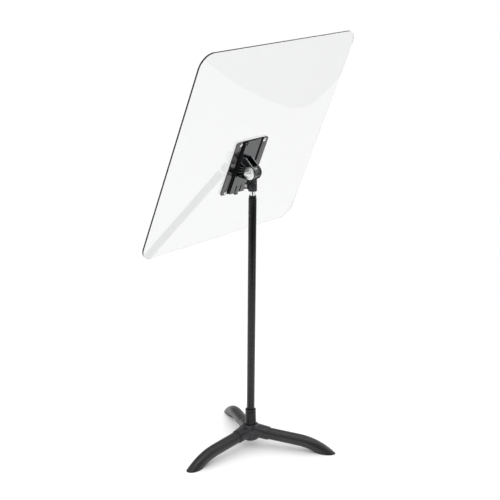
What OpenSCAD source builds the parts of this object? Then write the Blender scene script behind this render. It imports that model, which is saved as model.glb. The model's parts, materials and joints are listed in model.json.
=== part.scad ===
// Clear panel on a height-adjustable floor stand with a friction tilt head.
// Frame: origin on the mast axis at floor level, +Z up. The plain side of the panel faces -Y
// and the side that carries the mounting plate faces +Y. The tilt axis is parallel to X.

/* [Panel] */
// Width of the clear sheet
panel_w = 610; // [400:5:700]
// Height of the clear sheet
panel_h = 610; // [400:5:640]
// Thickness of the clear sheet
panel_t = 4.8; // [3:0.1:6]
// Corner radius of the clear sheet
panel_r = 40; // [20:1:80]
// How far the sheet's centre sits above the tilt axis, along the sheet
panel_rise = 68; // [40:1:100]
// Lean of the sheet from upright
tilt = 22; // [0:1:60]

/* [Stand] */
// Height of the tilt axis above the floor with the mast nearly down
pivot_z = 800; // [790:1:830]
// Outside diameter of the outer tube
tube_d = 22.2; // [21.6:0.1:22.6]
// Outside diameter of the sliding shaft
shaft_d = 15.9; // [15.5:0.1:16]
// Length of the sliding shaft
shaft_len = 600; // [560:5:640]

/* [Base] */
// Outside diameter of a leg tube
leg_d = 33.5; // [30:0.5:34]
// Wall of a leg tube
leg_wall = 2; // [1.5:0.1:3]
// Distance from the mast axis at which a leg starts to bend
leg_bend_start = 141; // [125:1:155]
// Bend radius of a leg's centre line
leg_bend_r = 166; // [150:1:180]
// Slope of a leg where it leaves the hub, in degrees
leg_slope = 6; // [4:0.5:7]
// How far the base is turned about the mast
base_turn = -2.8; // [-60:0.1:60]

/* [Head] */
// Size of the mounting plate across
plate_w = 126; // [120:1:140]
// Size of the mounting plate along the sheet
plate_h = 167; // [165:1:190]
// Distance between the corner screws across the plate
screw_dx = 94; // [92:1:104]
// Distance between the corner screws along the plate
screw_dz = 151; // [140:1:152]
// Distance from the tilt axis to the middle of the sheet
reach = 38; // [38:0.5:42]

/* [Hidden] */
$fn = 64;
fine = 96;
coarse = 32; // facets on what a hull is stretched over
eps = 0.01;
run = 0.08; // radial clearance of a running fit

// Base
leg_angles = [for (i = [0:2]) base_turn + 120 * i];
leg_r = leg_d / 2;
leg_axis_r = 40;    // where a leg's frame has its origin, from the mast axis
leg_axis_z = 41;    // height of the leg's centre line there
leg_bend_x = (leg_bend_start - leg_axis_r) / cos(leg_slope);
leg_in = 22;        // inner end of a leg, from the mast axis
leg_fit = 0.1;
seam_r = 55;        // end of the hub's sockets, from the mast axis
socket_r = leg_r + 2.2;
screw_seat = 0.9;   // depth of the flat that a leg screw's head sits on
foot_t = 2;         // how far the rubber foot stands below the leg
foot_plug = 9;      // how far the foot reaches up inside the leg
hub_top_z = 65;
hub_bottom_z = 17;
hub_r = 27;
hub_mouth_r = 20;
seat_z = 60;        // floor of the recess that the collar sits in
collar_top_z = 110;
collar_r0 = 16.3;
collar_r1 = 14.8;
groove_h = 1.6;     // gap between the collar and the ring above it
ring_h = 4;

// Mast
tube_r = tube_d / 2;
tube_wall = 1.5;
tube_bottom_z = 25;
tube_top_z = 727;
shaft_r = shaft_d / 2;
shaft_wall = 1.6;
socket_depth = 26;  // how much of the shaft the post holds
post_bottom = -51;  // lower end of the post, below the tilt axis
shaft_top_z = pivot_z + post_bottom + socket_depth;
shaft_bottom_z = shaft_top_z - shaft_len;
sleeve_len = 70;
sleeve_z = shaft_bottom_z + 0.3;
ring_z = sleeve_z + sleeve_len + 0.3;
fingers = 6;

// Tilt head, in the head's own frame: its origin is on the tilt axis, Y is away from the sheet and Z runs up it
sheet_back = -reach + panel_t / 2;
gasket_t = 0.8;
plate_t = 1.5;
flange_t = 2;       // how far the plate's side flanges stand above its floor
face_rise = 3;      // how far the bracket's face stands above the flanges
plate_back = sheet_back + gasket_t;
plate_floor = plate_back + plate_t;
flange_face = plate_floor + flange_t;
tongue_back = plate_floor + 0.1;
face = flange_face + face_rise;
flange_in = 42;     // half the space between the flanges
tongue_half = 29;
wing = 3.6;         // width of the thin wing on each side of the tongue
wing_t = 1.6;
lip_in = tongue_half + 0.8;
rail_in = tongue_half + wing + 0.2;
rail_out = rail_in + 3;
lip_back = tongue_back + wing_t + 0.1;
lip_face = lip_back + 1.3;
stop_h = 4;         // bar that closes the rails at the top and carries the sheet's weight
tongue_top = plate_h / 2 - stop_h - 0.2;
finger_w = 14.3;
finger_slot = 4;
finger_len = 24;
tab_len = 6;
tab_w = 11;         // the tab that snaps over the plate's lower edge
key_w = 7;          // notch at the tongue's upper corner that shows which way round it goes
key_h = 11;
cheek_in = 10;
cheek_t = 4.2;
cheek_out = cheek_in + cheek_t;
cheek_r = 20;
cheek_half = 31;     // half a cheek's length where it meets the bracket's face
cheek_foot = face - 1;
head_r = 17.4;
disc_r = 15.5;
disc_t = 1;
bolt_r = 4;
rib_t = 2.2;
rib_angles = [for (i = [-2:2]) 4 + i * 19];
rib_out = 27;

module round_rect(w, h, r) {
    for (sx = [-1, 1], sz = [-1, 1])
        translate([sx * (w / 2 - r), sz * (h / 2 - r)]) circle(r = r, $fn = fine);
    square([w, h - 2 * r], center = true);
    square([w - 2 * r, h], center = true);
}

// A slab from a 2D outline in X and Z, between two places along Y
module slab(y0, y1) {
    translate([0, y1, 0]) rotate([90, 0, 0]) linear_extrude(y1 - y0) children();
}

// A bar from a 2D outline in Y and Z, between two places along X
module bar(x0, x1) {
    translate([x0, 0, 0]) rotate([90, 0, 90]) linear_extrude(x1 - x0) children();
}

module along_x(x0, x1, r) {
    translate([x0, 0, 0]) rotate([0, 90, 0]) cylinder(r = r, h = x1 - x0);
}

module along_y(y0, y1, r) {
    translate([0, y1, 0]) rotate([90, 0, 0]) cylinder(r = r, h = y1 - y0);
}

module hex_x(x0, x1, across) {
    translate([x0, 0, 0]) rotate([0, 90, 0]) cylinder(d = across / cos(30), h = x1 - x0, $fn = 6);
}

// ---------------------------------------------------------------- base

module leg_frame(angle) {
    rotate([0, 0, angle]) translate([leg_axis_r, 0, leg_axis_z]) rotate([0, leg_slope, 0]) children();
}

// The bent end of a leg: the space inside radius r of its centre line, in the leg's frame
module leg_bend(r) {
    translate([leg_bend_x, 0, -leg_bend_r]) rotate([0, -90, -90])
        rotate_extrude(angle = 54, $fn = fine) translate([leg_bend_r, 0]) circle(r = r);
}

module leg_run(r, x0) {
    along_x(x0, leg_bend_x, r);
    leg_bend(r);
}

module floor_slab(z0, z1) {
    translate([0, -60, z0]) cube([320, 120, z1 - z0]);
}

// Up through the hub into the leg, from the flat that the screw's head sits on
module leg_screw_axis() {
    translate([2, 0, screw_seat - socket_r]) children();
}

module leg(angle) {
    color([0.13, 0.13, 0.13]) rotate([0, 0, angle]) intersection() {
        rotate([0, 0, -angle]) leg_frame(angle) difference() {
            leg_run(leg_r, leg_in - leg_axis_r);
            leg_run(leg_r - leg_wall, leg_in - leg_axis_r - 1);
            leg_screw_axis() cylinder(r = 2.55, h = 9);
        }
        floor_slab(foot_t, 90);
    }
}

module foot(angle) {
    color([0.08, 0.08, 0.08]) rotate([0, 0, angle]) {
        intersection() {
            rotate([0, 0, -angle]) leg_frame(angle) leg_bend(leg_r);
            floor_slab(0, foot_t);
        }
        intersection() {
            rotate([0, 0, -angle]) leg_frame(angle) leg_bend(leg_r - leg_wall - leg_fit);
            floor_slab(foot_t - eps, foot_t + foot_plug);
        }
    }
}

module hub_body() {
    rotate_extrude($fn = fine) polygon([
        [0, hub_bottom_z], [hub_r - 9, hub_bottom_z], [hub_r - 3.5, hub_bottom_z + 4],
        [hub_r, hub_bottom_z + 12], [hub_r, 50], [hub_mouth_r + 2, hub_top_z - 2],
        [hub_mouth_r, hub_top_z], [0, hub_top_z]
    ]);
}

module hub_arm(angle) {
    hull() {
        translate([0, 0, 46]) cylinder(r = hub_mouth_r + 1, h = 14, $fn = coarse);
        leg_frame(angle) along_x(seam_r - leg_axis_r - 3, seam_r - leg_axis_r - 1, socket_r, $fn = coarse);
    }
    leg_frame(angle) along_x(-24, seam_r - leg_axis_r, socket_r);
}

module hub() {
    color([0.12, 0.12, 0.13]) difference() {
        union() {
            hub_body();
            for (a = leg_angles) hub_arm(a);
        }
        for (a = leg_angles) leg_frame(a) {
            along_x(leg_in - leg_axis_r - 0.2, seam_r, leg_r + leg_fit);
            leg_screw_axis() {
                translate([0, 0, -1]) cylinder(r = 2.7, h = 9);
                translate([0, 0, -4]) cylinder(r = 5.2, h = 4);
            }
        }
        translate([0, 0, tube_bottom_z - 0.2]) cylinder(r = tube_r + 0.15, h = 60);
        translate([0, 0, seat_z]) cylinder(r = collar_r0 + 0.6, h = 20);
        cylinder(r = 4.3, h = 60);
        translate([0, 0, hub_bottom_z - 1]) cylinder(r = 11, h = 3.2);
    }
}

module hub_collar() {
    color([0.1, 0.1, 0.1]) difference() {
        union() {
            translate([0, 0, seat_z + 0.1])
                cylinder(r1 = collar_r0, r2 = collar_r1, h = collar_top_z - ring_h - groove_h - seat_z - 0.1);
            translate([0, 0, seat_z + 20]) cylinder(r = collar_r1 - 1.2, h = collar_top_z - ring_h - seat_z - 20.1);
        }
        cylinder(r = tube_r + run, h = 200);
    }
}

module collar_ring() {
    color([0.05, 0.05, 0.05]) translate([0, 0, collar_top_z - ring_h]) difference() {
        rotate_extrude() polygon([[0, 0], [collar_r1, 0], [collar_r1 + 0.4, 1.2], [collar_r1 + 0.4, ring_h - 1.4],
                                  [collar_r1 - 1, ring_h], [0, ring_h]]);
        translate([0, 0, -1]) cylinder(r = tube_r + run, h = 20);
    }
}

module leg_screws() {
    color([0.6, 0.61, 0.63]) for (a = leg_angles) leg_frame(a) leg_screw_axis() {
        translate([0, 0, -1]) cylinder(r = 2.5, h = 8);
        difference() {
            translate([0, 0, -2.4]) cylinder(r1 = 3.4, r2 = 4.7, h = 2.38);
            translate([0, 0, -3]) cylinder(d = 3.4, h = 2, $fn = 6);
        }
    }
}

// ---------------------------------------------------------------- mast

module outer_tube() {
    color([0.12, 0.12, 0.12]) translate([0, 0, tube_bottom_z]) difference() {
        cylinder(r = tube_r, h = tube_top_z - tube_bottom_z, $fn = fine);
        translate([0, 0, -1]) cylinder(r = tube_r - tube_wall, h = tube_top_z, $fn = fine);
    }
}

module tube_anchor() {
    color([0.55, 0.56, 0.58]) translate([0, 0, tube_bottom_z + 0.5]) difference() {
        cylinder(r = tube_r - tube_wall - 0.05, h = 26);
        translate([0, 0, -1]) cylinder(r = 4.1, h = 40);
    }
}

module base_bolt() {
    color([0.6, 0.61, 0.63]) {
        translate([0, 0, hub_bottom_z - 4.6]) cylinder(d = 13 / cos(30), h = 5, $fn = 6);
        translate([0, 0, hub_bottom_z]) cylinder(r = 4, h = 32);
    }
}

module base_washer() {
    color([0.6, 0.61, 0.63]) translate([0, 0, hub_bottom_z + 0.45]) difference() {
        cylinder(r = 10.5, h = 1.7);
        translate([0, 0, -1]) cylinder(r = 4.2, h = 4);
    }
}

module tube_bushing() {
    color([0.07, 0.07, 0.07]) translate([0, 0, tube_top_z]) difference() {
        union() {
            translate([0, 0, -38]) cylinder(r = tube_r - tube_wall - 0.05, h = 38.1);
            rotate_extrude($fn = fine) polygon([
                [0, 0.05], [tube_r - 0.1, 0.05], [tube_r - 0.1, 1.5], [9.8, 3.4], [9.8, 8.4], [9.2, 9.6], [0, 9.6]
            ]);
        }
        translate([0, 0, -40]) cylinder(r = shaft_r + run, h = 60);
        translate([0, 0, 8.8]) cylinder(r1 = shaft_r, r2 = shaft_r + 1, h = 1);
    }
}

module clutch_sleeve() {
    color([0.85, 0.85, 0.8]) translate([0, 0, sleeve_z]) difference() {
        cylinder(r = tube_r - tube_wall - run, h = sleeve_len);
        translate([0, 0, -1]) cylinder(r = shaft_r + run, h = sleeve_len + 2);
        for (i = [0:fingers - 1]) rotate([0, 0, i * 360 / fingers])
            translate([0, -0.6, 16]) cube([20, 1.2, sleeve_len]);
        translate([0, 0, sleeve_len - 12]) difference() {
            cylinder(r = 12, h = 2.4);
            translate([0, 0, -1]) cylinder(r = tube_r - tube_wall - run - 0.7, h = 5);
        }
    }
}

module clutch_band() {
    color([0.6, 0.61, 0.63]) translate([0, 0, sleeve_z + sleeve_len - 11.8]) difference() {
        cylinder(r = tube_r - tube_wall - run - 0.1, h = 2);
        translate([0, 0, -1]) cylinder(r = tube_r - tube_wall - run - 0.65, h = 5);
        translate([0, -0.8, -1]) cube([20, 1.6, 5]);
    }
}

module inner_shaft() {
    color([0.8, 0.8, 0.82]) translate([0, 0, shaft_bottom_z]) difference() {
        cylinder(r = shaft_r, h = shaft_len, $fn = fine);
        translate([0, 0, -1]) cylinder(r = shaft_r - shaft_wall, h = shaft_len + 2, $fn = fine);
        translate([0, 0, ring_z - shaft_bottom_z - 0.05]) difference() {
            cylinder(r = 12, h = 1.1);
            translate([0, 0, -1]) cylinder(r = shaft_r - 0.6, h = 5);
        }
    }
}

module shaft_plug() {
    color([0.55, 0.56, 0.58]) translate([0, 0, shaft_bottom_z]) difference() {
        union() {
            translate([0, 0, -3]) cylinder(r = tube_r - tube_wall - 0.3, h = 2.95);
            translate([0, 0, -1]) cylinder(r = shaft_r - shaft_wall - 0.05, h = 19);
        }
        translate([0, 0, -5]) cylinder(r = 2.05, h = 18);
    }
}

module plug_screw() {
    color([0.6, 0.61, 0.63]) translate([0, 0, shaft_bottom_z]) {
        translate([0, 0, -6.2]) difference() {
            cylinder(r1 = 3, r2 = 3.8, h = 3.15);
            translate([-0.4, -2.2, -1]) cube([0.8, 4.4, 2.4]);
            translate([-2.2, -0.4, -1]) cube([4.4, 0.8, 2.4]);
        }
        translate([0, 0, -3.2]) cylinder(r = 2, h = 14);
    }
}

module shaft_ring() {
    color([0.6, 0.61, 0.63]) translate([0, 0, ring_z]) difference() {
        cylinder(r = shaft_r + 0.9, h = 1);
        translate([0, 0, -1]) cylinder(r = shaft_r - 0.55, h = 4);
        translate([0, -2.5, -1]) cube([12, 5, 4]);
    }
}

// ---------------------------------------------------------------- tilt head: the post, which stays upright

pinch_y = -17;
pinch_z = -38.5;
lug_r = 7.4;
ear_half = 5.2;
post_r = 12;
post_shoulder = -31; // the round body's upper end, low enough to clear the cheeks
neck_r = 9.6;
neck_half = cheek_in - disc_t - run;

module at_pivot() {
    translate([0, 0, pivot_z]) children();
}

module ear_outline() {
    far = lug_r / sqrt(2);
    translate([pinch_y, pinch_z]) circle(r = lug_r);
    polygon([[pinch_y - far, pinch_z - far], [pinch_y + far, pinch_z + far], [-4, -24.5],
             [-4, post_bottom], [-9, post_bottom]]);
}

module tilt_post() {
    color([0.09, 0.09, 0.1]) at_pivot() difference() {
        union() {
            along_x(-neck_half, neck_half, head_r, $fn = fine);
            intersection() {
                translate([0, 0, post_shoulder - 1]) cylinder(r = 11.5, h = -post_shoulder);
                translate([-neck_half, -neck_r, post_shoulder - 2]) cube([2 * neck_half, 2 * neck_r, 40]);
            }
            translate([0, 0, post_bottom]) cylinder(r = post_r, h = post_shoulder - post_bottom);
            translate([0, 0, post_shoulder - eps]) cylinder(r1 = post_r, r2 = neck_r, h = 2.6);
            bar(-ear_half, ear_half) ear_outline();
        }
        along_x(-20, 20, bolt_r + run);
        translate([0, 0, post_bottom - 1]) cylinder(r = shaft_r + 0.05, h = socket_depth + 1);
        translate([-1, -40, post_bottom - 1]) cube([2, 40, socket_depth - 1]);
        translate([0, pinch_y, pinch_z]) along_x(-20, 20, 3.1);
    }
}

module pinch_bolt() {
    color([0.72, 0.73, 0.75]) at_pivot() translate([0, pinch_y, pinch_z]) {
        along_x(-ear_half - 4.2, ear_half + 0.5, 3);
        difference() {
            along_x(ear_half + 0.02, ear_half + 4.2, 4.8);
            hex_x(ear_half + 1.8, ear_half + 6, 5);
        }
    }
}

module pinch_nut() {
    color([0.6, 0.61, 0.63]) at_pivot() translate([0, pinch_y, pinch_z]) difference() {
        hex_x(-ear_half - 3.6, -ear_half - 0.02, 10);
        along_x(-20, 0, 3.03);
    }
}

// ---------------------------------------------------------------- tilt head: what turns with the sheet

module in_head() {
    translate([0, 0, pivot_z]) rotate([-tilt, 0, 0]) children();
}

// A cheek's outline in Y and Z: a round end about the tilt axis, joined by its tangents to a foot
// on the bracket's face
module cheek_outline() {
    r = cheek_r;
    half = cheek_half;
    far = norm([cheek_foot, half]);
    up = atan2(half, cheek_foot) - acos(r / far);
    circle(r = r, $fn = fine);
    polygon([[cheek_foot, half], [r * cos(up), r * sin(up)], [0, 0], [r * cos(up), -r * sin(up)],
             [cheek_foot, -half]]);
}

// The curved guard between the cheeks: it covers the post's head from above round to where the post has to swing
module guard_outline() {
    top = 100;
    stop = 8;
    difference() {
        circle(r = cheek_r - 0.9, $fn = fine);
        circle(r = head_r + 0.4, $fn = fine);
        polygon(concat([[0, 0]], [for (a = [top:20:360 - stop], r = 40) [r * cos(a), r * sin(a)]],
                       [[40 * cos(stop), -40 * sin(stop)]]));
    }
}

module rib(side, angle) {
    root = -(face - 1) / cos(angle);
    rotate([angle, 0, 0]) translate([0, 0, -rib_t / 2]) linear_extrude(rib_t) polygon([
        [side * (cheek_out - 1), 2 - cheek_r], [side * (cheek_out + 2), 1 - cheek_r],
        [side * rib_out, 5 - root], [side * rib_out, -root], [side * (cheek_out - 1), -root]
    ]);
}

module tongue_outline(half) {
    difference() {
        translate([-half, -plate_h / 2]) square([2 * half, plate_h / 2 + tongue_top]);
        for (s = [-1, 1]) translate([s * (finger_w + finger_slot) / 2 - finger_slot / 2, -plate_h / 2 - 1])
            square([finger_slot, finger_len + 1]);
    }
}

module tab_outline(h) {
    translate([-tab_w / 2, -plate_h / 2 - tab_len]) square([tab_w, h]);
}

module tilt_bracket() {
    color([0.09, 0.09, 0.1]) in_head() difference() {
        union() {
            slab(tongue_back, face) tongue_outline(tongue_half);
            slab(tongue_back, tongue_back + wing_t) tongue_outline(tongue_half + wing);
            slab(lip_face + 0.1, face)
                translate([-tongue_half, 0]) square([2 * tongue_half, plate_h / 2 - 0.5]);
            slab(tongue_back, face) tab_outline(tab_len + 1);
            slab(plate_back + 0.2, face) tab_outline(tab_len - 0.3);
            slab(face - eps, face + 1.2) tab_outline(3);
            for (s = [-1, 1]) bar(min(s * cheek_in, s * cheek_out), max(s * cheek_in, s * cheek_out))
                cheek_outline();
            bar(-cheek_in - 1, cheek_in + 1) guard_outline();
            for (s = [-1, 1], a = rib_angles) rib(s, a);
        }
        along_x(-30, 30, bolt_r + 0.05);
        translate([tongue_half - key_w, lip_face + 0.1, plate_h / 2 - key_h]) cube([key_w + 1, 5, key_h + 1]);
    }
}

module both_sides(x0, x1, z0, z1) {
    for (s = [-1, 1]) translate([s * (x0 + x1) / 2 - (x1 - x0) / 2, z0]) square([x1 - x0, z1 - z0]);
}

module mount_plate() {
    rail_low = 12 - plate_h / 2;
    rail_high = plate_h / 2 - 1;
    color([0.1, 0.1, 0.11]) in_head() difference() {
        union() {
            slab(plate_back, plate_floor) round_rect(plate_w, plate_h, 8);
            slab(plate_floor - eps, flange_face) intersection() {
                round_rect(plate_w, plate_h, 8);
                both_sides(flange_in, plate_w, -plate_h, plate_h);
            }
            slab(plate_floor - eps, lip_face) both_sides(rail_in, rail_out, rail_low, rail_high);
            slab(lip_back, lip_face) both_sides(lip_in, rail_in + 1, rail_low, rail_high);
            slab(plate_floor - eps, lip_face)
                translate([-rail_out, plate_h / 2 - stop_h]) square([2 * rail_out, stop_h - 0.5]);
        }
        at_corners() along_y(-60, 0, 2.7);
    }
}

module at_corners() {
    for (sx = [-1, 1], sz = [-1, 1]) translate([sx * screw_dx / 2, 0, sz * screw_dz / 2]) children();
}

module friction_discs() {
    color([0.75, 0.72, 0.62]) in_head() for (s = [-1, 1]) difference() {
        translate([s * (cheek_in - disc_t / 2), 0, 0]) along_x(0.02 - disc_t / 2, disc_t / 2 - 0.02, disc_r);
        along_x(-20, 20, bolt_r + 0.1);
    }
}

module pivot_bolt() {
    color([0.72, 0.73, 0.75]) in_head() {
        along_x(-cheek_out - 2, cheek_out + 16.5, bolt_r);
        difference() {
            hex_x(-cheek_out - 7.3, -cheek_out - 1.85, 13);
            difference() {
                along_x(-cheek_out - 8, -cheek_out - 6.7, 12);
                along_x(-cheek_out - 9, -cheek_out - 6, 5.8);
            }
        }
    }
}

module bolt_washer() {
    color([0.72, 0.73, 0.75]) in_head() difference() {
        along_x(-cheek_out - 1.8, -cheek_out - 0.02, 12);
        along_x(-30, 0, bolt_r + 0.1);
    }
}

module cup_washer() {
    color([0.78, 0.79, 0.8]) in_head() translate([cheek_out + 0.02, 0, 0]) rotate([0, 90, 0]) difference() {
        rotate_extrude($fn = fine) polygon([[0, 0], [17.6, 0], [18, 0.4], [18, 1.8], [17.2, 2.6], [12, 3.6], [0, 3.6]]);
        translate([0, 0, -1]) cylinder(r = bolt_r + 0.1, h = 8);
    }
}

module spring_washer() {
    color([0.7, 0.71, 0.73]) in_head() translate([cheek_out + 3.65, 0, 0]) rotate([0, 90, 0]) difference() {
        rotate_extrude() polygon([[0, 0], [9, 0], [9, 0.6], [6.6, 2], [0, 2]]);
        translate([0, 0, -1]) cylinder(r = bolt_r + 0.1, h = 8);
    }
}

module pivot_nut() {
    color([0.75, 0.76, 0.78]) in_head() translate([cheek_out + 5.7, 0, 0]) difference() {
        union() {
            hex_x(0, 6.4, 13);
            along_x(6, 8.4, 5.6);
        }
        along_x(-1, 12, bolt_r + 0.03);
    }
}

module panel() {
    color([0.93, 0.95, 0.96, 0.3]) in_head() difference() {
        slab(-reach - panel_t / 2, sheet_back) translate([0, panel_rise]) round_rect(panel_w, panel_h, panel_r);
        at_corners() along_y(-60, 0, 3.6);
    }
}

module panel_gasket() {
    color([0.06, 0.06, 0.06]) in_head() difference() {
        slab(sheet_back, plate_back) round_rect(plate_w - 3, plate_h - 3, 7);
        at_corners() along_y(-60, 0, 3.7);
    }
}

module panel_screws() {
    color([0.78, 0.79, 0.8]) in_head() at_corners() {
        along_y(flange_face - 9.2, flange_face + 0.5, 2);
        difference() {
            translate([0, flange_face + 0.02, 0]) rotate([-90, 0, 0]) rotate_extrude()
                polygon([[0, 0], [5, 0], [5, 0.9], [3.9, 2.1], [2.2, 2.7], [0, 2.8]]);
            translate([-0.5, flange_face + 1.2, -2.6]) cube([1, 3, 5.2]);
            translate([-2.6, flange_face + 1.2, -0.5]) cube([5.2, 3, 1]);
        }
    }
}

module barrel_nuts() {
    front = -reach - panel_t / 2;
    color([0.78, 0.79, 0.8]) in_head() at_corners() difference() {
        union() {
            along_y(front - 0.5, plate_back - 0.1, 3.5);
            translate([0, front - 0.02, 0]) rotate([90, 0, 0]) rotate_extrude()
                polygon([[0, 0], [5.5, 0], [5.5, 0.5], [4.6, 1.2], [2.4, 1.5], [0, 1.6]]);
        }
        along_y(front - 0.3, flange_face, 2.05);
    }
}

hub();
hub_collar();
collar_ring();
leg(leg_angles[0]);  // leg_right
leg(leg_angles[1]);  // leg_rear_left
leg(leg_angles[2]);  // leg_front_left
foot(leg_angles[0]);  // foot_right
foot(leg_angles[1]);  // foot_rear_left
foot(leg_angles[2]);  // foot_front_left
leg_screws();
outer_tube();
tube_anchor();
base_bolt();
base_washer();
tube_bushing();
clutch_sleeve();
clutch_band();
inner_shaft();
shaft_plug();
shaft_ring();
plug_screw();
tilt_post();
pinch_bolt();
pinch_nut();
tilt_bracket();
mount_plate();
pivot_bolt();
pivot_nut();
cup_washer();
spring_washer();
bolt_washer();
friction_discs();
panel();
panel_gasket();
panel_screws();
barrel_nuts();
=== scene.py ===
"""Looks of the clear panel stand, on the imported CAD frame.

Camera, studio, materials and finished meshes. Lengths are in metres.
"""
import json
import math

import bmesh
import bpy
from mathutils import Matrix, Vector


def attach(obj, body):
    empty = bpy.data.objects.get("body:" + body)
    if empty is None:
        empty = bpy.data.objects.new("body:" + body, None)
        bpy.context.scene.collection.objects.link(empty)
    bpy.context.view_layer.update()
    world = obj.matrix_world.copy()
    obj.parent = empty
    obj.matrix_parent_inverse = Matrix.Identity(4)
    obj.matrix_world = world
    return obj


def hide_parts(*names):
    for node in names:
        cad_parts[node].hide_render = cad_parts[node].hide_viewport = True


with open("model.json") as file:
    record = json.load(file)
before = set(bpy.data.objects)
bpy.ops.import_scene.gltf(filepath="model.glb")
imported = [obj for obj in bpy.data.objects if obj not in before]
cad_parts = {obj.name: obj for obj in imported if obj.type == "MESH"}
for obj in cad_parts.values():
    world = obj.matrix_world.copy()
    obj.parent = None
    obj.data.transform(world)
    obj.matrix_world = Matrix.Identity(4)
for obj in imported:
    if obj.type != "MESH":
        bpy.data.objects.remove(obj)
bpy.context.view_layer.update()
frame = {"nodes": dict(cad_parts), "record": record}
nodes = frame["nodes"]

# ------------------------------------------------------------------ camera

CAMERA_AT = Vector((2.488, 2.155, 1.625))
CAMERA_AIM = Vector((0.004, -0.004, 0.582))
CAMERA_ROLL = math.radians(0.49)
CAMERA_LENS = 91.2      # millimetres, on a sensor of SENSOR_WIDTH
SENSOR_WIDTH = 36
CAMERA_REACH = 100


def add_camera():
    data = bpy.data.cameras.new("camera")
    data.lens = CAMERA_LENS
    data.sensor_width = SENSOR_WIDTH
    data.clip_end = CAMERA_REACH
    camera = bpy.data.objects.new("camera", data)
    bpy.context.scene.collection.objects.link(camera)
    turn = (CAMERA_AIM - CAMERA_AT).to_track_quat("-Z", "Y").to_matrix().to_4x4()
    roll = Matrix.Rotation(CAMERA_ROLL, 4, "Z")
    camera.matrix_world = Matrix.Translation(CAMERA_AT) @ turn @ roll
    bpy.context.scene.camera = camera


# ------------------------------------------------------------------ materials


class Shader:
    """A Principled material whose detail is made from noise in the object's own metres."""

    def __init__(self, name, colour, roughness, metallic=0.0):
        self.mat = bpy.data.materials.new(name)
        self.mat.use_nodes = True
        self.tree = self.mat.node_tree
        self.out = self.tree.nodes["Principled BSDF"]
        self.set("Base Color", (*colour, 1))
        self.set("Roughness", roughness)
        self.set("Metallic", metallic)
        self.coord = self.add("ShaderNodeTexCoord").outputs["Object"]

    def set(self, name, value):
        self.out.inputs[name].default_value = value

    def add(self, kind, **fields):
        node = self.tree.nodes.new(kind)
        for name, value in fields.items():
            setattr(node, name, value)
        return node

    def link(self, source, target):
        self.tree.links.new(source, target)

    def noise(self, scale, detail=2.0, stretch=(1, 1, 1), distortion=0.0):
        mapping = self.add("ShaderNodeMapping")
        mapping.inputs["Scale"].default_value = stretch
        self.link(self.coord, mapping.inputs["Vector"])
        node = self.add("ShaderNodeTexNoise")
        node.inputs["Scale"].default_value = scale
        node.inputs["Detail"].default_value = detail
        node.inputs["Distortion"].default_value = distortion
        self.link(mapping.outputs["Vector"], node.inputs["Vector"])
        return node.outputs["Fac"]

    def ramp(self, value, low, high, start=0.3, end=0.7):
        node = self.add("ShaderNodeMapRange")
        node.inputs["From Min"].default_value = start
        node.inputs["From Max"].default_value = end
        node.inputs["To Min"].default_value = low
        node.inputs["To Max"].default_value = high
        self.link(value, node.inputs["Value"])
        return node.outputs["Result"]

    def vary_roughness(self, value, low, high, start=0.3, end=0.7):
        self.link(self.ramp(value, low, high, start, end), self.out.inputs["Roughness"])

    def vary_colour(self, value, dark, light, start=0.3, end=0.7):
        node = self.add("ShaderNodeMix", data_type="RGBA")
        node.inputs["A"].default_value = (*dark, 1)
        node.inputs["B"].default_value = (*light, 1)
        self.link(self.ramp(value, 0, 1, start, end), node.inputs["Factor"])
        self.link(node.outputs["Result"], self.out.inputs["Base Color"])

    def bump(self, value, height, strength=1.0):
        node = self.add("ShaderNodeBump")
        node.inputs["Distance"].default_value = height
        node.inputs["Strength"].default_value = strength
        self.link(value, node.inputs["Height"])
        previous = self.out.inputs["Normal"].links
        if previous:
            self.link(previous[0].from_socket, node.inputs["Normal"])
        self.link(node.outputs["Normal"], self.out.inputs["Normal"])


# ------------------------------------------------------------------ studio

FLOOR_HALF = 40
FLOOR_LIT_NEAR, FLOOR_DIM_FAR = 0.95, 0.8  # floor colour at the stand and away from it: lighter at the stand, a painted pool of light
FLOOR_FADE = (0.4, 1.4)            # distances from the mast between which it changes
WORLD_BANDS = (  # sine of the elevation, brightness
    (0.0, 1.2), (0.1, 1.0), (0.3, 0.95), (0.6, 1.15), (0.8, 1.45), (1.0, 1.6),
)
DOME_RADIUS = 6
DOME_HEIGHT = 0.4
DOME_LOW = 0.2  # brightness between the patches
DOME_BOXES = (  # bearing, elevation, inner and outer half-angle in degrees, brightness
    (163, 38, 6, 12, 2.8), (150, 22, 12, 34, 0.85), (180, 40, 8, 22, 1.2), (-148, 34, 4, 14, 0.5),
    (-49, 18, 12, 40, 1.05), (-135, 14, 10, 40, 0.25), (60, 80, 10, 34, 1.7), (20, 30, 6, 30, 0.7),
)


def stage_mesh(name, corners):
    mesh = bpy.data.meshes.new(name)
    mesh.from_pydata([tuple(c) for c in corners], [], [tuple(range(len(corners)))])
    piece = bpy.data.objects.new(name, mesh)
    bpy.context.scene.collection.objects.link(piece)
    return piece


def add_floor():
    half = FLOOR_HALF
    floor = stage_mesh("floor", [(-half, -half, 0), (half, -half, 0), (half, half, 0),
                                 (-half, half, 0)])
    s = Shader("floor_white", (FLOOR_LIT_NEAR,) * 3, 0.9)
    s.set("Specular IOR Level", 0.0)
    # Painted light: the colour darkens with distance from the mast, a painted pool of light around
    # the stand.
    away = s.add("ShaderNodeVectorMath", operation="LENGTH")
    s.link(s.coord, away.inputs[0])
    s.vary_colour(away.outputs["Value"], [FLOOR_LIT_NEAR] * 3, [FLOOR_DIM_FAR] * 3, *FLOOR_FADE)
    floor.data.materials.append(s.mat)


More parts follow.
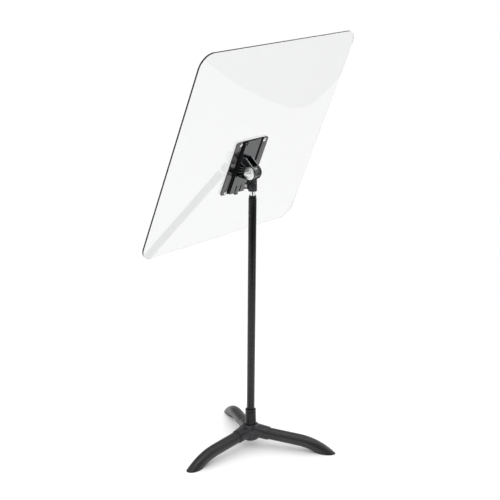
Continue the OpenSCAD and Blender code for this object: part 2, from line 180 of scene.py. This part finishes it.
def add_world():
    world = bpy.data.worlds.new("studio")
    bpy.context.scene.world = world
    world.use_nodes = True
    tree = world.node_tree
    sky = tree.nodes["Background"]
    coord = tree.nodes.new("ShaderNodeTexCoord")
    split = tree.nodes.new("ShaderNodeSeparateXYZ")
    ramp = tree.nodes.new("ShaderNodeValToRGB")
    tree.links.new(coord.outputs["Generated"], split.inputs[0])
    tree.links.new(split.outputs["Z"], ramp.inputs["Fac"])
    tree.links.new(ramp.outputs["Color"], sky.inputs["Color"])
    stops = ramp.color_ramp.elements
    for index, (at, level) in enumerate(WORLD_BANDS):
        stop = stops[index] if index < 2 else stops.new(at)
        stop.position = at
        stop.color = (level, level, level, 1)


def reflected_only(piece):
    for kind in ("camera", "diffuse", "transmission", "volume_scatter", "shadow"):
        setattr(piece, "visible_" + kind, False)


def glowing(piece, name):
    """Give a stage piece a material that only glows; returns its node tree and its light."""
    mat = bpy.data.materials.new(name)
    mat.use_nodes = True
    tree = mat.node_tree
    tree.nodes.remove(tree.nodes["Principled BSDF"])
    glow = tree.nodes.new("ShaderNodeEmission")
    tree.links.new(glow.outputs[0], tree.nodes["Material Output"].inputs["Surface"])
    piece.data.materials.append(mat)
    reflected_only(piece)
    return tree, glow


def add_card(name, corners, level):
    """A studio card that shows in reflections only."""
    glow = glowing(stage_mesh(name, corners), name)[1]
    glow.inputs["Color"].default_value = (level, level, level, 1)


def upright_card(name, bearing, distance, width, low, high, level):
    """A card that stands at a bearing from the mast, facing it."""
    middle = Vector((math.cos(bearing), math.sin(bearing), 0)) * distance
    side = Vector((-math.sin(bearing), math.cos(bearing), 0)) * (width / 2)
    bottom, top = Vector((0, 0, low)), Vector((0, 0, high))
    add_card(name, [middle - side + bottom, middle + side + bottom,
                    middle + side + top, middle - side + top], level)


def add_dome():
    """The studio as it shows in reflections: a dim dome with soft bright patches."""
    work = bmesh.new()
    bmesh.ops.create_uvsphere(work, u_segments=48, v_segments=24, radius=DOME_RADIUS)
    mesh = bpy.data.meshes.new("dome")
    work.to_mesh(mesh)
    work.free()
    dome = bpy.data.objects.new("dome", mesh)
    dome.location = (0, 0, DOME_HEIGHT)
    bpy.context.scene.collection.objects.link(dome)
    tree, glow = glowing(dome, "dome")
    coord = tree.nodes.new("ShaderNodeTexCoord")
    aim = tree.nodes.new("ShaderNodeVectorMath")
    aim.operation = "NORMALIZE"
    tree.links.new(coord.outputs["Object"], aim.inputs[0])
    total = None
    for bearing, elevation, inner, outer, level in DOME_BOXES:
        b, e = math.radians(bearing), math.radians(elevation)
        dot = tree.nodes.new("ShaderNodeVectorMath")
        dot.operation = "DOT_PRODUCT"
        across = math.cos(e)
        dot.inputs[1].default_value = (across * math.cos(b), across * math.sin(b), math.sin(e))
        tree.links.new(aim.outputs[0], dot.inputs[0])
        patch = tree.nodes.new("ShaderNodeMapRange")
        patch.interpolation_type = "SMOOTHSTEP"
        patch.inputs["From Min"].default_value = math.cos(math.radians(outer))
        patch.inputs["From Max"].default_value = math.cos(math.radians(inner))
        patch.inputs["To Max"].default_value = level
        tree.links.new(dot.outputs["Value"], patch.inputs["Value"])
        both = tree.nodes.new("ShaderNodeMath")
        both.inputs[0].default_value = DOME_LOW
        if total is not None:
            tree.links.new(total, both.inputs[0])
        tree.links.new(patch.outputs["Result"], both.inputs[1])
        total = both.outputs[0]
    tree.links.new(total, glow.inputs["Strength"])


# The dark card whose stripe shows in the chrome
FLAG_DISTANCE, FLAG_WIDTH, FLAG_TOP = 2.0, 1.5, 1.2
SHADE_LEVEL = 0.4
SHADE_HEIGHT = 0.003  # above the floor
SHADE_OUTLINE = (  # a dim part of the floor, seen as a reflection only
    (-1.0, 0.98), (-1.12, 0.84), (-1.18, 0.727), (-1.235, 0.667), (-1.305, 0.605),
    (-1.375, 0.559), (-1.43, 0.542), (-1.485, 0.539), (-1.545, 0.547), (-1.61, 0.569),
    (-1.736, 0.615), (-1.867, 0.671), (-2.02, 0.766), (-2.4, 1.1), (-2.6, 2.4), (-0.8, 2.4),
)


def add_cards():
    toward_camera = math.atan2(CAMERA_AT.y, CAMERA_AT.x)
    upright_card("flag_camera_side", toward_camera, FLAG_DISTANCE, FLAG_WIDTH, 0.0, FLAG_TOP, 0.0)
    add_card("floor_shade", [(x, y, SHADE_HEIGHT) for x, y in SHADE_OUTLINE], SHADE_LEVEL)


# ------------------------------------------------------------------ finishes


def powder_coat(name, colour, roughness, shine):
    s = Shader(name, colour, roughness)
    s.set("Specular IOR Level", shine)
    s.vary_colour(s.noise(9, 4), [c * 0.85 for c in colour], [c * 1.25 for c in colour])
    s.vary_roughness(s.noise(35, 5), roughness - 0.05, roughness + 0.07)
    s.bump(s.noise(900, 3), 0.00006, 0.6)
    return s.mat


def glossy(s, roughness):
    s.set("Coat Weight", 0.75)
    s.set("Coat Roughness", 0.12)
    s.set("Coat IOR", 1.5)
    s.vary_roughness(s.noise(60, 6, distortion=0.4), roughness - 0.04, roughness + 0.1)
    s.bump(s.noise(90, 3), 0.00008, 0.3)


def gloss_plastic(name, colour, roughness):
    s = Shader(name, colour, roughness)
    glossy(s, roughness)
    s.vary_colour(s.noise(30, 5), [c * 0.8 for c in colour], [c * 1.3 for c in colour])
    return s.mat


CHANNEL_HALF = 0.0419     # half the width of the plate's channel
CHANNEL_EDGE = 0.0002     # half the width of the change between its two finishes and the channel's painted shade
CHANNEL_ROUGHNESS = 0.9


def plate_plastic(name, colour, channel_shade_colour, roughness):
    """Glossy flanges, and a dull channel between them where the bracket slides, its colour painted
    darker as painted shade in the recess.
    """
    s = Shader(name, colour, roughness)
    glossy(s, roughness)
    s.set("Specular IOR Level", 0.3)
    split = s.add("ShaderNodeSeparateXYZ")
    s.link(s.coord, split.inputs[0])
    away = s.add("ShaderNodeMath", operation="ABSOLUTE")
    s.link(split.outputs["X"], away.inputs[0])
    outside = s.ramp(away.outputs[0], 0, 1,
                     CHANNEL_HALF - CHANNEL_EDGE, CHANNEL_HALF + CHANNEL_EDGE)
    for name_in, low, high in (("Coat Weight", 0.0, 1.0),
                               ("Roughness", CHANNEL_ROUGHNESS, roughness)):
        s.link(s.ramp(outside, low, high, 0, 1), s.out.inputs[name_in])
    # Painted shade: the channel's colour is darker than the flanges', standing in for the shade in
    # the recess.
    mix = s.add("ShaderNodeMix", data_type="RGBA")
    mix.inputs["A"].default_value = (*channel_shade_colour, 1)
    mix.inputs["B"].default_value = (*colour, 1)
    s.link(outside, mix.inputs["Factor"])
    s.link(mix.outputs["Result"], s.out.inputs["Base Color"])
    s.bump(s.noise(25, 4, distortion=1.0), 0.0004, 0.35)
    return s.mat


def grained_plastic(name, colour, roughness, shine=0.5):
    s = Shader(name, colour, roughness)
    s.set("Specular IOR Level", shine)
    s.vary_colour(s.noise(20, 4), [c * 0.9 for c in colour], [c * 1.15 for c in colour])
    s.vary_roughness(s.noise(70, 4), roughness - 0.04, roughness + 0.06)
    s.bump(s.noise(1500, 2), 0.00005, 0.7)
    return s.mat


def rubber(name, colour):
    s = Shader(name, colour, 0.75)
    s.set("Specular IOR Level", 0.3)
    s.vary_colour(s.noise(40, 5), colour, [c * 1.8 for c in colour])
    s.bump(s.noise(700, 4), 0.0001, 0.8)
    return s.mat


def plated(name, colour, roughness):
    s = Shader(name, colour, roughness, metallic=1.0)
    s.vary_colour(s.noise(120, 4), [c * 0.92 for c in colour], colour)
    s.vary_roughness(s.noise(300, 4), roughness - 0.04, roughness + 0.07)
    s.bump(s.noise(1200, 2), 0.00001, 0.3)
    return s.mat


def chrome(name):
    s = Shader(name, (0.82, 0.83, 0.85), 0.08, metallic=1.0)
    s.vary_roughness(s.noise(14, 6, stretch=(60, 60, 1)), 0.05, 0.14)
    return s.mat


SHEET_TINT = (0.886, 0.891, 0.891)
SHEET_EDGE_SHADE = (0.72, 0.75, 0.76)
SHEET_TILT = math.radians(22)     # the sheet's lean from upright at rest
SHEET_NORMAL = (0, math.cos(SHEET_TILT), -math.sin(SHEET_TILT))


def clear_acrylic(name):
    """A clear sheet with sawn and flamed edges, painted a little darker than its faces as painted
    shade.
    """
    s = Shader(name, SHEET_TINT, 0.0)
    s.set("Transmission Weight", 1.0)
    s.set("IOR", 1.49)
    along = s.add("ShaderNodeVectorMath", operation="DOT_PRODUCT")
    along.inputs[1].default_value = SHEET_NORMAL
    s.link(s.add("ShaderNodeTexCoord").outputs["Normal"], along.inputs[0])
    face_on = s.add("ShaderNodeMath", operation="ABSOLUTE")
    s.link(along.outputs["Value"], face_on.inputs[0])
    # Painted shade: faces that are not face-on to the sheet's normal, its edges, get a darker
    # colour.
    mix = s.add("ShaderNodeMix", data_type="RGBA")
    mix.inputs["A"].default_value = (*SHEET_EDGE_SHADE, 1)
    mix.inputs["B"].default_value = (*SHEET_TINT, 1)
    s.link(s.ramp(face_on.outputs[0], 0, 1, 0.4, 0.95), mix.inputs["Factor"])
    s.link(mix.outputs["Result"], s.out.inputs["Base Color"])
    s.vary_roughness(s.noise(2.5, 5, distortion=0.6), 0.0, 0.012)
    return s.mat


def nylon(name):
    s = Shader(name, (0.78, 0.76, 0.68), 0.5)
    s.set("Subsurface Weight", 0.1)
    s.set("Subsurface Scale", 0.002)
    s.vary_roughness(s.noise(80, 4), 0.42, 0.58)
    return s.mat


MATERIALS = {
    "base_casting": powder_coat("base_casting", (0.017, 0.0162, 0.0195), 0.36, 0.5),
    "collar_plastic": grained_plastic("collar_plastic", (0.005, 0.005, 0.0055), 0.28, 0.3),
    "collar_ring_plastic": grained_plastic("collar_ring_plastic", (0.005, 0.005, 0.006), 0.3),
    "leg_paint": powder_coat("leg_paint", (0.015, 0.0142, 0.0142), 0.35, 0.5),
    "foot_rubber": rubber("foot_rubber", (0.012, 0.012, 0.012)),
    "tube_paint": powder_coat("tube_paint", (0.006, 0.006, 0.0064), 0.24, 0.4),
    "zinc_hardware": plated("zinc_hardware", (0.58, 0.59, 0.61), 0.3),
    "clutch_nylon": nylon("clutch_nylon"),
    "shaft_chrome": chrome("shaft_chrome"),
    "post_plastic": grained_plastic("post_plastic", (0.0105, 0.0115, 0.013), 0.34, 0.42),
    "bright_hardware": plated("bright_hardware", (0.92, 0.94, 0.925), 0.33),
    "head_plastic": gloss_plastic("head_plastic", (0.002, 0.004, 0.0055), 0.14),
    # (0.0015,) * 3 is the channel's painted shade colour.
    "plate_plastic": plate_plastic("plate_plastic", (0.004, 0.004, 0.0045), (0.0015,) * 3, 0.16),
    "disc_fibre": grained_plastic("disc_fibre", (0.45, 0.41, 0.32), 0.7),
    "clear_sheet": clear_acrylic("clear_sheet"),
    "gasket_rubber": rubber("gasket_rubber", (0.012, 0.012, 0.012)),
}


# ------------------------------------------------------------------ finished meshes

BEVELS = {  # metres
    "tilt_bracket": 0.0004, "mount_plate": 0.0004, "tilt_post": 0.0007, "panel": 0.0006,
    "cup_washer": 0.0002, "pivot_nut": 0.0003, "pivot_bolt": 0.0003, "pinch_bolt": 0.0003,
    "pinch_nut": 0.0002, "hub_collar": 0.0005, "collar_ring": 0.0003, "tube_bushing": 0.0003,
    "panel_screws": 0.00015, "barrel_nuts": 0.0002, "spring_washer": 0.0002, "bolt_washer": 0.0002,
    "base_bolt": 0.0003, "outer_tube": 0.0003, "leg_screws": 0.00015,
}
BEVEL_ANGLE = math.radians(38)
BEVEL_SEGMENTS = 2
WELD_DISTANCE = 0.00001


def soften_edges():
    """Break the sharp CAD edges with modifiers; the CAD vertices stay as they are."""
    for name, width in BEVELS.items():
        piece = nodes[name]
        weld = piece.modifiers.new("weld", "WELD")
        weld.merge_threshold = WELD_DISTANCE
        bevel = piece.modifiers.new("bevel", "BEVEL")
        bevel.width = width
        bevel.segments = BEVEL_SEGMENTS
        bevel.limit_method = "ANGLE"
        bevel.angle_limit = BEVEL_ANGLE
        bevel.harden_normals = name != "panel"  # the sheet's faces stay flat-shaded


HUB_VOXEL = 0.0009
HUB_ROUNDS = 26
HUB_SOFT = (0.038, 0.047)   # from the mast axis: where the smoothing starts to fade, and ends
HUB_LEAST = 0.12            # share of the smoothing that the whole hub gets, against voxel steps
HUB_STEP = 0.5              # how far a point moves towards its neighbours' middle in a round
HUB_BORE = 0.012            # radius inside which the bore and the bolt's seat stay crisp
RECESS_R, RECESS_Z = 0.0185, 0.05   # the collar's recess stays crisp inside and above these


def cast_hub():
    """The hub again, with the soft fillets of a casting where its arms meet."""
    cad = nodes["hub"]
    hub = bpy.data.objects.new("hub_casting", cad.data.copy())
    bpy.context.scene.collection.objects.link(hub)
    weld = hub.modifiers.new("weld", "WELD")
    weld.merge_threshold = WELD_DISTANCE
    voxels = hub.modifiers.new("voxels", "REMESH")
    voxels.mode = "VOXEL"
    voxels.voxel_size = HUB_VOXEL
    graph = bpy.context.evaluated_depsgraph_get()
    mesh = bpy.data.meshes.new_from_object(hub.evaluated_get(graph))
    hub.modifiers.clear()
    hub.data = mesh
    work = bmesh.new()
    work.from_mesh(mesh)
    work.verts.ensure_lookup_table()
    start, end = HUB_SOFT
    share = []
    for vert in work.verts:
        away = math.hypot(vert.co.x, vert.co.y)
        in_recess = away < RECESS_R and vert.co.z > RECESS_Z
        fade = min(1.0, max(0.0, (end - away) / (end - start)))
        crisp = in_recess or away < HUB_BORE
        share.append(HUB_LEAST + (0.0 if crisp else fade))
    for _ in range(HUB_ROUNDS):
        moved = []
        for vert, part in zip(work.verts, share):
            near = [edge.other_vert(vert).co for edge in vert.link_edges]
            middle = sum(near, Vector()) / len(near)
            moved.append(vert.co.lerp(middle, min(HUB_STEP, HUB_STEP * part)))
        for vert, place in zip(work.verts, moved):
            vert.co = place
    for face in work.faces:
        face.smooth = True
    work.to_mesh(mesh)
    work.free()
    mesh.materials.clear()
    mesh.materials.append(MATERIALS["base_casting"])
    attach(hub, "base")
    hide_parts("hub")


def dress_cad():
    for part in frame["record"]["subparts"]:
        piece = nodes[part["node"]]
        piece.data.materials.clear()
        piece.data.materials.append(MATERIALS[part["material_slot"]])


add_camera()
add_world()
add_floor()
add_dome()
add_cards()
dress_cad()
soften_edges()
cast_hub()

bpy.context.scene.view_settings.view_transform = "Standard"
